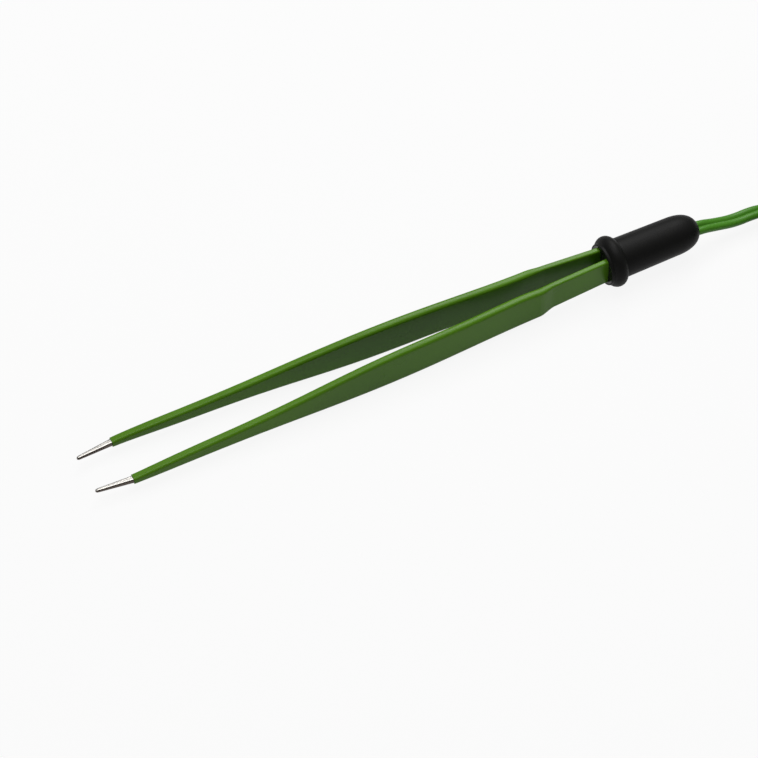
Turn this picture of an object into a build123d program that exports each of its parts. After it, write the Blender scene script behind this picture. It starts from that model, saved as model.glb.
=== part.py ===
from build123d import *
from math import atan2, cos, degrees, pi, radians, sin, tan
import os

os.makedirs("parts", exist_ok=True)

# Bipolar forceps with their cord, in millimetres.
# Stations run along the forceps from the tips, heights are from the forceps' own axis.
FORCEPS_LENGTH = 180.0
CAP_LENGTH = 29.5
HINGE_BEHIND_MOUTH = 2.3

# Arms: steel blades in a moulded green skin
SKIN = 0.30
TIP_WIDTH = 1.0
TIP_THICKNESS = 1.0
TIP_DROP = 0.15
ARM_DROP = 0.25
TIP_HALF_GAP = 5.33
TOE_IN = 0.55
TIP_NOSE = 0.9
BARE_LENGTH = 10.0
BARE_HALF_HEIGHT = 0.75
BARE_THICKNESS = 1.6
GRIP_THICKNESS = 2.35
GRIP_EDGE_ROUND = 0.85
SLENDER_EDGE_ROUND = 0.60
TAPER_EDGE_ROUND = 0.70
# share of the way to the shoulder, half the gap between the arms, half height
TAPER = [
    (0.141, 5.42, 1.42),
    (0.234, 5.12, 1.86),
    (0.391, 4.80, 2.86),
    (0.547, 4.28, 4.44),
    (0.703, 3.72, 5.22),
    (0.859, 2.98, 5.03),
]
SHOULDER_LENGTH = 5.0
SHOULDER_HALF_GAP = 2.40
SHOULDER_HALF_HEIGHT = 4.90
NECK_LENGTH = 16.3
NECK_THICKNESS = 1.66
NECK_TOP = 4.90
NECK_BOTTOM = 3.82
NECK_END_TOP = 4.25
NECK_HALF_GAP = 2.36
NECK_EDGE_ROUND = 0.45
SKIN_INSIDE_CAP = 4.0

# Fine cross grooves on the gripping faces
GROOVE_PITCH = 0.5
GROOVE_SIDE = 0.17
GROOVE_FIRST = 0.9
GROOVED_LENGTH = 7.0

# Blade roots inside the cap
WEB_THICKNESS = 3.05
TANG_HALF_HEIGHT = 2.4
TANG_SHORT_OF_BLOCK = 2.3
STUD_RADIUS = 1.0
STUD_SHARE = 0.44
STUD_HOLE_CLEARANCE = 0.25
STUD_PROUD = 0.3
ARM_CLEARANCE = 0.20

# Rear cap
BEAD_RADIUS = 7.16
BEAD_ROUND = 2.29
BEAD_BEHIND_MOUTH = 2.87
LIP_RADIUS = 5.85
LIP_EDGE_ROUND = 0.25
MOUTH_RADIUS = 5.50
MOUTH_DEPTH = 4.4
BARREL_FRONT_RADIUS = 5.56
BARREL_REAR_RADIUS = 5.35
DOME_LENGTH = 7.94
DOME_FULLNESS = 0.66
CAP_WALL = 1.05
CAVITY_PAST_BLOCK = 0.3
FIT_GAP = 0.05
SEAL_SET_BACK = 0.4
SEAL_THICKNESS = 2.0

# Insulating block, terminals and cord clamp inside the cap
CAP_END_WALL = 3.8
CHANNEL_HALF_HEIGHT = 2.65
TONGUE_THICKNESS = 0.6
TONGUE_SHARE = 0.66
TERMINAL_THICKNESS = 0.45
TERMINAL_HALF_HEIGHT = 1.6
TERMINAL_PAST_TANG = 0.7
TERMINAL_SET_BACK = 0.2
BARREL_LENGTH = 3.4
BARREL_WALL = 0.20
STRAND_RADIUS = 0.5
STRAND_CLEARANCE = 0.02
CLAMP_POCKET_RADIUS = 3.2
CLAMP_POCKET_LENGTH = 4.6
CLAMP_LENGTH = 1.7
CLAMP_WALL = 0.5
CORD_PAST_CLAMP = 0.5

# Flat twin cord, its hank and tie
CORD_WIDTH = 4.4
CORD_THICKNESS = 2.2
CORD_RISE = -0.5
CORD_LENGTH = 3000.0
FIRST_RUN_PAST_CAP = 1.8
CORD_OUTSIDE_HANK = 100.0
HANK_PAST_CAP = 36.1
HANK_LAYERS = 4
HANK_TURNS_PER_LAYER = 3
HANK_INNER_RADIUS = 13.2
# share of the way between two ends, sideways, height
LEAD_BENDS = [(0.294, 0.0, 4.9), (0.488, 0.0, 4.3), (0.720, 0.0, 3.2)]
TAIL_BENDS = [(0.245, 0.0, 15.0), (0.469, -3.5, 10.5), (0.673, -10.5, 6.6)]
TAIL_LAST_RUN = 6.0
TIE_THICKNESS = 0.4
TIE_WIDTH = 8.0
TIE_CLEARANCE = 0.1

# Two pin plug
PIN_SPACING = 28.6
PIN_RADIUS = 2.0
PIN_LENGTH = 19.0
PIN_NOSE_ROUND = 1.2
SHANK_RADIUS = 2.3
FLANGE_RADIUS = 3.2
FLANGE_THICKNESS = 1.0
CRIMP_RADIUS = 1.5
CRIMP_LENGTH = 5.0
CRIMP_BORE_DEPTH = 4.0
PLUG_PAST_HANK = 49.0
CORD_INTO_PLUG = 5.0
PLUG_CENTRE_Y = -14.5
PLUG_THICKNESS = 11.0
PLUG_EDGE_ROUND = 2.4
PLUG_SIDE_MARGIN = 7.0
RELIEF_LENGTH = 12.0
RELIEF_END_WALL = 1.1
RELIEF_ROOT_WIDTH = 14.0
RELIEF_STEP = 3.0
PLUG_FLARE_LENGTH = 8.0
PLUG_STRAIGHT_LENGTH = 14.0
CARRIER_DEPTH = 11.0
CARRIER_HEIGHT = 7.0
CARRIER_SIDE = 3.6
PLUG_CHAMBER_DEPTH = 9.5
PLUG_BEND = 1.2

# Rest attitude: the forceps lie on the cap's bead and on the widest part of both arms,
# which swells a little between the sections of the taper
BELLY_SWELL = 0.12
mouth = FORCEPS_LENGTH - CAP_LENGTH
bead_station = mouth + BEAD_BEHIND_MOUTH
shoulder_end = mouth - NECK_LENGTH
shoulder_start = shoulder_end - SHOULDER_LENGTH
belly_share, _, belly_half_height = max(TAPER, key=lambda row: row[2])
belly_station = belly_share * shoulder_start
belly_depth = belly_half_height + BELLY_SWELL + ARM_DROP
rest_tilt = atan2(BEAD_RADIUS - belly_depth, bead_station - belly_station)
tip_axis_height = (belly_depth - belly_station * tan(rest_tilt)) * cos(rest_tilt)
rest = Plane(
    origin=(-FORCEPS_LENGTH / 2 * cos(rest_tilt), 0, tip_axis_height),
    x_dir=(cos(rest_tilt), 0, sin(rest_tilt)),
    z_dir=(-sin(rest_tilt), 0, cos(rest_tilt)),
)
long_axis = Axis(rest.origin, rest.x_dir)


def across(station, y=0.0, z=0.0):
    """Plane across the forceps: its x is sideways, its y is up."""
    return Plane(rest.from_local_coords((station, y, z)), x_dir=(0, 1, 0), z_dir=rest.x_dir)


def along(y=0.0):
    """Upright plane along the forceps: its x is the station, its y is up."""
    return Plane(rest.from_local_coords((0, y, 0)), x_dir=rest.x_dir, z_dir=(0, -1, 0))


def flat_on(z=0.0):
    """Level plane along the forceps: its x is the station, its y is sideways."""
    return Plane(rest.from_local_coords((0, 0, z)), x_dir=rest.x_dir, z_dir=rest.z_dir)


def finish(builder, name):
    """Names a finished piece and writes its file."""
    builder.part.label = name
    export_step(builder.part, f"parts/{name}.step")


# Stations that follow from the sizes
skin_end = mouth + SKIN_INSIDE_CAP
block_start = mouth + MOUTH_DEPTH
clamp_pocket_end = FORCEPS_LENGTH - CAP_END_WALL
cavity_end = clamp_pocket_end - CLAMP_POCKET_LENGTH
block_length = cavity_end - CAVITY_PAST_BLOCK - block_start
tang_end = block_start + block_length - TANG_SHORT_OF_BLOCK
stud_station = block_start + STUD_SHARE * block_length
tang_thickness = NECK_THICKNESS - 2 * SKIN
tang_half_gap = WEB_THICKNESS / 2
cavity_radius = BARREL_REAR_RADIUS - CAP_WALL


def arm_section(station, half_gap, thickness, top, bottom, rounding, skin):
    """Section of an arm with the skin's thickness taken off all round."""
    middle_height = (top - bottom) / 2 - ARM_DROP
    with BuildSketch(across(station, half_gap + thickness / 2, middle_height)) as section:
        RectangleRounded(thickness - 2 * skin, top + bottom - 2 * skin, rounding - skin * 0.8)
    return section.sketch


def shoulder_row(share):
    """Section sizes at a share of the way along the shoulder's easy S curve."""
    ease = share * share * (3 - 2 * share)

    def between(a, b):
        return a + (b - a) * ease

    return (
        shoulder_start + share * SHOULDER_LENGTH,
        between(SHOULDER_HALF_GAP, NECK_HALF_GAP),
        between(GRIP_THICKNESS, NECK_THICKNESS),
        between(SHOULDER_HALF_HEIGHT, NECK_TOP),
        between(SHOULDER_HALF_HEIGHT, NECK_BOTTOM),
        between(GRIP_EDGE_ROUND, NECK_EDGE_ROUND),
    )


bare_half_gap = TIP_HALF_GAP + TOE_IN
front_row = (
    BARE_LENGTH,
    bare_half_gap - SKIN,
    BARE_THICKNESS + 2 * SKIN,
    BARE_HALF_HEIGHT + SKIN - TIP_DROP,
    BARE_HALF_HEIGHT + SKIN + TIP_DROP,
    SLENDER_EDGE_ROUND,
)
taper_rows = [
    (
        share * shoulder_start,
        gap,
        GRIP_THICKNESS,
        half,
        half,
        GRIP_EDGE_ROUND if half > GRIP_THICKNESS else TAPER_EDGE_ROUND,
    )
    for share, gap, half in TAPER
]
shoulder_rows = [shoulder_row(share) for share in (0, 1 / 3, 2 / 3, 1)]
neck_end_row = (
    skin_end,
    tang_half_gap - SKIN,
    NECK_THICKNESS,
    NECK_END_TOP,
    NECK_BOTTOM,
    NECK_EDGE_ROUND,
)


def arm_body(skin):
    """Solid of one arm: its long taper, its shoulder and its neck."""
    with BuildPart() as body:
        loft([arm_section(*row, skin) for row in [front_row] + taper_rows + shoulder_rows[:1]])
        loft([arm_section(*row, skin) for row in shoulder_rows])
        loft([arm_section(*row, skin) for row in (shoulder_rows[-1], neck_end_row)], ruled=True)
    return body.part


# Bare tip: the nose is rounded off in steps of the tip's own size
tip_rows = [
    (0.0, 0.25),
    (TIP_NOSE * 0.15, 0.62),
    (TIP_NOSE * 0.45, 0.88),
    (TIP_NOSE, 1.0),
]
toe_in = atan2(bare_half_gap - TIP_HALF_GAP, BARE_LENGTH)
groove_count = int(GROOVED_LENGTH / GROOVE_PITCH)

blade_core = arm_body(SKIN)

with BuildPart() as right_blade:
    add(blade_core)
    for station, share in tip_rows:
        middle = TIP_HALF_GAP + station * tan(toe_in) + TIP_THICKNESS / 2
        with BuildSketch(across(station, middle, -ARM_DROP)):
            RectangleRounded(TIP_THICKNESS * share, TIP_WIDTH * share, TIP_THICKNESS * share * 0.36)
    bare_base = across(BARE_LENGTH, bare_half_gap + BARE_THICKNESS / 2, -ARM_DROP - TIP_DROP)
    with BuildSketch(bare_base):
        RectangleRounded(BARE_THICKNESS, 2 * BARE_HALF_HEIGHT, SLENDER_EDGE_ROUND - 0.8 * SKIN)
    loft(ruled=True)
    with BuildSketch(flat_on()):
        groove_stations = [GROOVE_FIRST + GROOVE_PITCH * i for i in range(groove_count)]
        with Locations(*[(s, TIP_HALF_GAP + s * tan(toe_in)) for s in groove_stations]):
            Rectangle(GROOVE_SIDE, GROOVE_SIDE, rotation=45)
    extrude(amount=TIP_WIDTH, both=True, mode=Mode.SUBTRACT)
    with BuildSketch(across(skin_end, tang_half_gap + tang_thickness / 2)):
        Rectangle(tang_thickness, 2 * TANG_HALF_HEIGHT)
    extrude(amount=tang_end - skin_end)
    with BuildSketch(along()):
        with Locations((stud_station, 0)):
            Circle(STUD_RADIUS + STUD_HOLE_CLEARANCE)
    extrude(amount=-2 * WEB_THICKNESS, mode=Mode.SUBTRACT)
finish(right_blade, "right_blade")

arm_outside = arm_body(0)

with BuildPart() as right_insulation:
    add(arm_outside)
    add(right_blade.part, mode=Mode.SUBTRACT)
finish(right_insulation, "right_insulation")

with BuildPart() as left_blade:
    mirror(right_blade.part, about=Plane.XZ)
finish(left_blade, "left_blade")

with BuildPart() as left_insulation:
    mirror(right_insulation.part, about=Plane.XZ)
finish(left_insulation, "left_insulation")

# Each arm bends most at the cap's mouth: this is where its hinge sits and how far it closes
hinge_station = mouth + HINGE_BEHIND_MOUTH
root_slope = (NECK_HALF_GAP - (tang_half_gap - SKIN)) / (skin_end - shoulder_end)
hinge_half_gap = tang_half_gap - SKIN + (skin_end - hinge_station) * root_slope
hinge_y = hinge_half_gap + NECK_THICKNESS / 2
nose_gap = TIP_HALF_GAP + TIP_NOSE * tan(toe_in)
closing = degrees(atan2(nose_gap, hinge_station - TIP_NOSE))
hinge_point = rest.from_local_coords((hinge_station, hinge_y, 0))
print("hinge at", hinge_point, "closing", round(closing, 3), "degrees each")

# Rear cap: lip, bead, barrel and dome in one turned rubber moulding
dome_start = FORCEPS_LENGTH - DOME_LENGTH
bead_middle = BEAD_RADIUS - BEAD_ROUND
lip_meets_bead = bead_station - (BEAD_ROUND**2 - (LIP_RADIUS - bead_middle) ** 2) ** 0.5
barrel_meets_bead = bead_station + (BEAD_ROUND**2 - (BARREL_FRONT_RADIUS - bead_middle) ** 2) ** 0.5

with BuildPart() as rear_cap:
    with BuildSketch(along()):
        with BuildLine():
            Line((mouth, 0), (mouth, LIP_RADIUS - LIP_EDGE_ROUND))
            RadiusArc(
                (mouth, LIP_RADIUS - LIP_EDGE_ROUND),
                (mouth + LIP_EDGE_ROUND, LIP_RADIUS),
                LIP_EDGE_ROUND,
            )
            Line((mouth + LIP_EDGE_ROUND, LIP_RADIUS), (lip_meets_bead, LIP_RADIUS))
            ThreePointArc(
                (lip_meets_bead, LIP_RADIUS),
                (bead_station, BEAD_RADIUS),
                (barrel_meets_bead, BARREL_FRONT_RADIUS),
            )
            Line((barrel_meets_bead, BARREL_FRONT_RADIUS), (dome_start, BARREL_REAR_RADIUS))
            Bezier(
                (dome_start, BARREL_REAR_RADIUS),
                (dome_start + DOME_FULLNESS * DOME_LENGTH, BARREL_REAR_RADIUS),
                (FORCEPS_LENGTH, DOME_FULLNESS * BARREL_REAR_RADIUS),
                (FORCEPS_LENGTH, 0),
            )
            Line((FORCEPS_LENGTH, 0), (mouth, 0))
        make_face()
    revolve(axis=long_axis)
    with BuildSketch(across(mouth)):
        Circle(MOUTH_RADIUS)
    extrude(amount=MOUTH_DEPTH, mode=Mode.SUBTRACT)
    with BuildSketch(across(block_start)):
        Circle(cavity_radius)
    extrude(amount=cavity_end - block_start, mode=Mode.SUBTRACT)
    with BuildSketch(across(cavity_end)):
        Circle(CLAMP_POCKET_RADIUS)
    extrude(amount=CLAMP_POCKET_LENGTH, mode=Mode.SUBTRACT)
    with BuildSketch(across(clamp_pocket_end, 0, CORD_RISE)):
        SlotOverall(CORD_WIDTH + 2 * FIT_GAP, CORD_THICKNESS + 2 * FIT_GAP)
    extrude(amount=FORCEPS_LENGTH - clamp_pocket_end + 1, mode=Mode.SUBTRACT)
finish(rear_cap, "rear_cap")

# Potting plate that closes the cap's mouth round the two necks
seal_front = mouth + SEAL_SET_BACK
root_half_gap = tang_half_gap - SKIN
seal_back = seal_front + SEAL_THICKNESS
window_inner = root_half_gap + (skin_end - seal_back) * root_slope - ARM_CLEARANCE
window_outer = root_half_gap + (skin_end - seal_front) * root_slope + NECK_THICKNESS + ARM_CLEARANCE
top_slope = (NECK_TOP - NECK_END_TOP) / (skin_end - shoulder_end)
window_top = NECK_END_TOP + (skin_end - seal_front) * top_slope - ARM_DROP + ARM_CLEARANCE
window_bottom = NECK_BOTTOM + ARM_DROP + ARM_CLEARANCE

with BuildPart() as front_seal:
    with BuildSketch(across(seal_front)):
        Circle(MOUTH_RADIUS - FIT_GAP)
        for side in (-1, 1):
            window_centre = (side * (window_inner + window_outer) / 2, (window_top - window_bottom) / 2)
            with Locations(window_centre):
                RectangleRounded(
                    window_outer - window_inner,
                    window_top + window_bottom,
                    NECK_EDGE_ROUND,
                    mode=Mode.SUBTRACT,
                )
    extrude(amount=SEAL_THICKNESS)
finish(front_seal, "front_seal")

# Insulating block: a web between the roots, flanges above and below, a stud through each root
side_channel = cavity_radius - tang_half_gap
tongue_station = block_start + TONGUE_SHARE * block_length
tongue_channel = cavity_radius - TONGUE_THICKNESS / 2

with BuildPart() as spacer_block:
    with BuildSketch(across(block_start)):
        Circle(cavity_radius - FIT_GAP)
        for side in (-1, 1):
            with Locations((side * (tang_half_gap + side_channel / 2), 0)):
                Rectangle(side_channel, 2 * CHANNEL_HALF_HEIGHT, mode=Mode.SUBTRACT)
    extrude(amount=block_length)
    with BuildSketch(across(tongue_station)):
        for side in (-1, 1):
            with Locations((side * (TONGUE_THICKNESS / 2 + tongue_channel / 2), 0)):
                Rectangle(tongue_channel, 2 * CHANNEL_HALF_HEIGHT)
    extrude(amount=block_start + block_length - tongue_station, mode=Mode.SUBTRACT)
    with BuildSketch(along()):
        with Locations((stud_station, 0)):
            Circle(STUD_RADIUS)
    extrude(amount=tang_half_gap + tang_thickness + STUD_PROUD, both=True)
finish(spacer_block, "spacer_block")

# Terminals: a tab on the inner face of each root, with a crimp barrel for one core of the cord
core_offset = CORD_THICKNESS / 2
terminal_start = tongue_station + TERMINAL_SET_BACK
terminal_length = tang_end + TERMINAL_PAST_TANG - terminal_start
barrel_station = tang_end + TERMINAL_PAST_TANG / 2
strand_start = terminal_start + terminal_length
cord_start = clamp_pocket_end - CLAMP_LENGTH - CORD_PAST_CLAMP

with BuildPart() as right_terminal:
    with BuildSketch(across(terminal_start, tang_half_gap - TERMINAL_THICKNESS / 2)):
        Rectangle(TERMINAL_THICKNESS, 2 * TERMINAL_HALF_HEIGHT)
    extrude(amount=terminal_length)
    with BuildSketch(across(barrel_station, core_offset, CORD_RISE)):
        Circle(STRAND_RADIUS + STRAND_CLEARANCE + BARREL_WALL)
    extrude(amount=BARREL_LENGTH)
    with BuildSketch(across(strand_start, core_offset, CORD_RISE)):
        Circle(STRAND_RADIUS + STRAND_CLEARANCE)
    extrude(amount=BARREL_LENGTH, mode=Mode.SUBTRACT)
finish(right_terminal, "right_terminal")

with BuildPart() as left_terminal:
    mirror(right_terminal.part, about=Plane.XZ)
finish(left_terminal, "left_terminal")

for name, side in (("right_conductor", 1), ("left_conductor", -1)):
    with BuildPart() as conductor:
        with BuildSketch(across(strand_start, side * core_offset, CORD_RISE)):
            Circle(STRAND_RADIUS)
        extrude(amount=cord_start - strand_start)
    finish(conductor, name)

with BuildPart() as cord_clamp:
    with BuildSketch(across(clamp_pocket_end - CLAMP_LENGTH, 0, CORD_RISE)):
        bore_width = CORD_WIDTH + 2 * FIT_GAP
        bore_height = CORD_THICKNESS + 2 * FIT_GAP
        SlotOverall(bore_width + 2 * CLAMP_WALL, bore_height + 2 * CLAMP_WALL)
        SlotOverall(bore_width, bore_height, mode=Mode.SUBTRACT)
    extrude(amount=CLAMP_LENGTH)
finish(cord_clamp, "cord_clamp")

# Cord route: out of the cap, down on to the surface and into the hank; then off the hank to the plug
hank_outer_radius = HANK_INNER_RADIUS + (HANK_TURNS_PER_LAYER - 1) * CORD_THICKNESS
hank_height = HANK_LAYERS * CORD_WIDTH
first_layer_height = TIE_THICKNESS + CORD_WIDTH / 2
last_layer_height = TIE_THICKNESS + hank_height - CORD_WIDTH / 2
plug_axis_height = PLUG_THICKNESS / 2
mean_radius = (HANK_INNER_RADIUS + hank_outer_radius) / 2
laps = HANK_LAYERS * HANK_TURNS_PER_LAYER - 1
hank_run = (CORD_LENGTH - CORD_OUTSIDE_HANK - laps * 2 * pi * mean_radius) / (2 * laps + 1)
cap_end_x = rest.from_local_coords((FORCEPS_LENGTH, 0, CORD_RISE)).X
hank_near_x = cap_end_x + HANK_PAST_CAP
hank_far_x = hank_near_x + hank_run
plug_x = hank_far_x + PLUG_PAST_HANK

lead_points = [
    rest.from_local_coords((cord_start, 0, CORD_RISE)),
    rest.from_local_coords((FORCEPS_LENGTH + FIRST_RUN_PAST_CAP, 0, CORD_RISE)),
    *[Vector(cap_end_x + share * HANK_PAST_CAP, y, z) for share, y, z in LEAD_BENDS],
    Vector(hank_near_x, 0, first_layer_height),
]
tail_points = [
    Vector(hank_far_x, 0, last_layer_height),
    *[Vector(hank_far_x + share * PLUG_PAST_HANK, y, z) for share, y, z in TAIL_BENDS],
    Vector(plug_x - TAIL_LAST_RUN, PLUG_CENTRE_Y, plug_axis_height),
    Vector(plug_x + CORD_INTO_PLUG, PLUG_CENTRE_Y, plug_axis_height),
]


def bend_radii(points):
    """Largest arc that the two runs at each inner point of a route allow."""
    radii = []
    for before, here, after in zip(points, points[1:], points[2:]):
        run_in = here - before
        run_out = after - here
        turn = radians(run_in.get_angle(run_out))
        radii.append(0.45 * min(run_in.length, run_out.length) / tan(turn / 2))
    return radii


def cord_tube(points, name):
    """Flat cord swept along straight runs joined by tangent arcs."""
    radii = bend_radii(points)
    start = Plane(points[0], x_dir=(0, 1, 0), z_dir=points[1] - points[0])
    with BuildPart() as tube:
        with BuildLine():
            route = FilletPolyline(*points, radius=radii)
        with BuildSketch(start) as section:
            SlotOverall(CORD_WIDTH, CORD_THICKNESS)
        sweep(path=route)
    ratio = tube.part.volume / (section.sketch.area * route.length)
    print(name, "radii", [round(r, 1) for r in radii], "volume ratio", round(ratio, 4))
    finish(tube, name)
    return route.length


lead_length = cord_tube(lead_points, "cord_lead")
tail_length = cord_tube(tail_points, "cord_tail")

hank_centre = (hank_near_x + hank_run / 2, -hank_outer_radius)
with BuildPart() as cord_hank:
    with BuildSketch(Plane.XY.offset(TIE_THICKNESS)):
        with Locations(hank_centre):
            SlotCenterToCenter(hank_run, 2 * hank_outer_radius + CORD_THICKNESS)
            SlotCenterToCenter(hank_run, 2 * HANK_INNER_RADIUS - CORD_THICKNESS, mode=Mode.SUBTRACT)
    extrude(amount=hank_height)
finish(cord_hank, "cord_hank")

hank_cord = laps * (2 * hank_run + 2 * pi * mean_radius) + hank_run
print("cord length", round(lead_length + hank_cord + tail_length, 1), "of", CORD_LENGTH)

with BuildPart() as hank_tie:
    band_width = 2 * hank_outer_radius + CORD_THICKNESS + 2 * TIE_CLEARANCE
    with BuildSketch(Plane.YZ.offset(hank_near_x + hank_run / 2 - TIE_WIDTH / 2)):
        with Locations((-hank_outer_radius, TIE_THICKNESS + hank_height / 2)):
            Rectangle(band_width + 2 * TIE_THICKNESS, hank_height + 2 * TIE_THICKNESS)
            Rectangle(band_width, hank_height, mode=Mode.SUBTRACT)
    extrude(amount=TIE_WIDTH)
finish(hank_tie, "hank_tie")

# Plug: overmoulded body with a tapered relief, a carrier bar and two pins
relief_end = plug_x + RELIEF_LENGTH
flare_end = relief_end + PLUG_FLARE_LENGTH
plug_front = flare_end + PLUG_STRAIGHT_LENGTH
carrier_start = plug_front - CARRIER_DEPTH
chamber_start = carrier_start - PLUG_CHAMBER_DEPTH
plug_half_width = PIN_SPACING / 2 + PLUG_SIDE_MARGIN
chamber_half_width = PIN_SPACING / 2 + CARRIER_SIDE


def plug_across(x, y=0.0):
    """Plane across the plug at a place along it: its x is sideways, its y is up."""
    return Plane((x, PLUG_CENTRE_Y + y, plug_axis_height), x_dir=(0, 1, 0), z_dir=(1, 0, 0))


with BuildPart() as plug_body:
    with BuildSketch(Plane.XY):
        with Locations((0, PLUG_CENTRE_Y)):
            Polygon(
                (relief_end, -RELIEF_ROOT_WIDTH / 2),
                (flare_end, -plug_half_width),
                (plug_front, -plug_half_width),
                (plug_front, plug_half_width),
                (flare_end, plug_half_width),
                (relief_end, RELIEF_ROOT_WIDTH / 2),
                align=None,
            )
    extrude(amount=PLUG_THICKNESS)
    upright_edges = plug_body.edges().filter_by(Axis.Z)
    corner_edges = upright_edges.filter_by_position(Axis.X, flare_end - 1, plug_front + 1)
    fillet(corner_edges, radius=PLUG_SIDE_MARGIN * 0.6)
    level_faces = plug_body.faces().sort_by(Axis.Z)
    fillet(level_faces[0].edges() + level_faces[-1].edges(), radius=PLUG_EDGE_ROUND)
    with BuildSketch(plug_across(plug_x)):
        SlotOverall(CORD_WIDTH + 2 * RELIEF_END_WALL, CORD_THICKNESS + 2 * RELIEF_END_WALL)
    with BuildSketch(plug_across(relief_end + PLUG_EDGE_ROUND)):
        SlotOverall(RELIEF_ROOT_WIDTH - RELIEF_STEP, PLUG_THICKNESS - RELIEF_STEP)
    loft()
    with BuildSketch(plug_across(chamber_start)):
        Rectangle(2 * chamber_half_width, CARRIER_HEIGHT)
    extrude(amount=plug_front - chamber_start, mode=Mode.SUBTRACT)
    with BuildSketch(plug_across(plug_x)):
        SlotOverall(CORD_WIDTH + 2 * FIT_GAP, CORD_THICKNESS + 2 * FIT_GAP)
    extrude(amount=chamber_start - plug_x, mode=Mode.SUBTRACT)
finish(plug_body, "plug_body")

with BuildPart() as plug_carrier:
    with BuildSketch(plug_across(carrier_start)):
        Rectangle(2 * (chamber_half_width - FIT_GAP), CARRIER_HEIGHT - 2 * FIT_GAP)
        with GridLocations(PIN_SPACING, 0, 2, 1):
            Circle(SHANK_RADIUS + FIT_GAP, mode=Mode.SUBTRACT)
    extrude(amount=CARRIER_DEPTH)
finish(plug_carrier, "plug_carrier")

flange_start = carrier_start - FLANGE_THICKNESS
crimp_start = flange_start - CRIMP_LENGTH

for name, side in (("right_plug_pin", 1), ("left_plug_pin", -1)):
    pin_y = side * PIN_SPACING / 2
    with BuildPart() as pin:
        with BuildSketch(plug_across(crimp_start, pin_y)):
            Circle(CRIMP_RADIUS)
        extrude(amount=CRIMP_LENGTH)
        with BuildSketch(plug_across(flange_start, pin_y)):
            Circle(FLANGE_RADIUS)
        extrude(amount=FLANGE_THICKNESS)
        with BuildSketch(plug_across(carrier_start, pin_y)):
            Circle(SHANK_RADIUS)
        extrude(amount=CARRIER_DEPTH)
        with BuildSketch(plug_across(plug_front, pin_y)):
            Circle(PIN_RADIUS)
        extrude(amount=PIN_LENGTH)
        fillet(pin.edges().filter_by(GeomType.CIRCLE).sort_by(Axis.X)[-1], radius=PIN_NOSE_ROUND)
        with BuildSketch(plug_across(crimp_start, pin_y)):
            Circle(STRAND_RADIUS + STRAND_CLEARANCE)
        extrude(amount=CRIMP_BORE_DEPTH, mode=Mode.SUBTRACT)
    finish(pin, name)

wire_start = plug_x + CORD_INTO_PLUG
first_bend_x = (relief_end + crimp_start) / 2

for name, side in (("right_plug_conductor", 1), ("left_plug_conductor", -1)):
    core_y = PLUG_CENTRE_Y + side * core_offset
    crimp_y = PLUG_CENTRE_Y + side * PIN_SPACING / 2
    wire_points = [
        Vector(wire_start, core_y, plug_axis_height),
        Vector(first_bend_x, core_y, plug_axis_height),
        Vector(first_bend_x, crimp_y, plug_axis_height),
        Vector(crimp_start + 0.85 * CRIMP_BORE_DEPTH, crimp_y, plug_axis_height),
    ]
    with BuildPart() as wire:
        with BuildLine():
            wire_route = FilletPolyline(*wire_points, radius=PLUG_BEND)
        with BuildSketch(plug_across(wire_start, side * core_offset)):
            Circle(STRAND_RADIUS)
        sweep(path=wire_route)
    finish(wire, name)
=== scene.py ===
"""Bipolar forceps with their cord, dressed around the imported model.

The forceps lie on a pale surface, seen from above with the tips to the left. The arms, the cap, the
parts inside it and the plug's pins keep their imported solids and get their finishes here. The hollow
face of the potting, the plug's moulded body, the cord, its hank and the tie are modelled here.
"""

import logging
import math
from dataclasses import dataclass, field
from enum import Enum
from typing import Iterable

import bmesh
import bpy
from mathutils import Matrix, Vector


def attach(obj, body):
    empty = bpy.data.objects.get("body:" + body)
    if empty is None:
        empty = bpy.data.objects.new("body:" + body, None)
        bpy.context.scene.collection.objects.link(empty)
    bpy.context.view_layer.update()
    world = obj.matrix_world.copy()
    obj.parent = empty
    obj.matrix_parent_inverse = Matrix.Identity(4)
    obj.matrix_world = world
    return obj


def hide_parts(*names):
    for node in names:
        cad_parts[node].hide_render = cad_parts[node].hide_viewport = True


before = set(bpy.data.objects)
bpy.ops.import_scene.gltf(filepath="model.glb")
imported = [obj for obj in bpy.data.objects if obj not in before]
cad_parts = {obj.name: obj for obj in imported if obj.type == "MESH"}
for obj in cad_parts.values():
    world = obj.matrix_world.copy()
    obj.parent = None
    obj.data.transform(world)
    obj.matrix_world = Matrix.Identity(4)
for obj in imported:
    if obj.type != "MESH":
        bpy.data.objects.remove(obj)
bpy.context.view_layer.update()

LOG = logging.getLogger("bipolar_forceps")
MM = 0.001
QUARTER_TURN = math.pi / 2
CREASE = math.radians(38.0)
CORNERS = ((1, 1), (-1, 1), (-1, -1), (1, -1))

Colour = tuple[float, float, float]
Place = tuple[float, float, float]
Pair = tuple[float, float]
Points = list[Vector]
Socket = bpy.types.NodeSocket


class Side(Enum):
    """The two sides of the forceps, seen from the cap towards the tips."""

    LEFT = "left"
    RIGHT = "right"


class Lay(Enum):
    """How far the flat cord is turned about its own line."""

    FLAT = 0.0
    ON_EDGE = QUARTER_TURN


class Ends(Enum):
    """What closes a skin over a row of rings."""

    CAPPED = "a face over each end"
    JOINED = "the last ring runs on into the first"


def ease_over(value: float, start: float, end: float) -> float:
    """Smooth step from 0 to 1 while a value goes from start to end."""
    share = min(1.0, max(0.0, (value - start) / (end - start)))
    return share * share * (3.0 - 2.0 * share)


def blend_between(low: float, high: float, share: float) -> float:
    """Value at a share of the way from low to high."""
    return low + (high - low) * share


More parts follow.
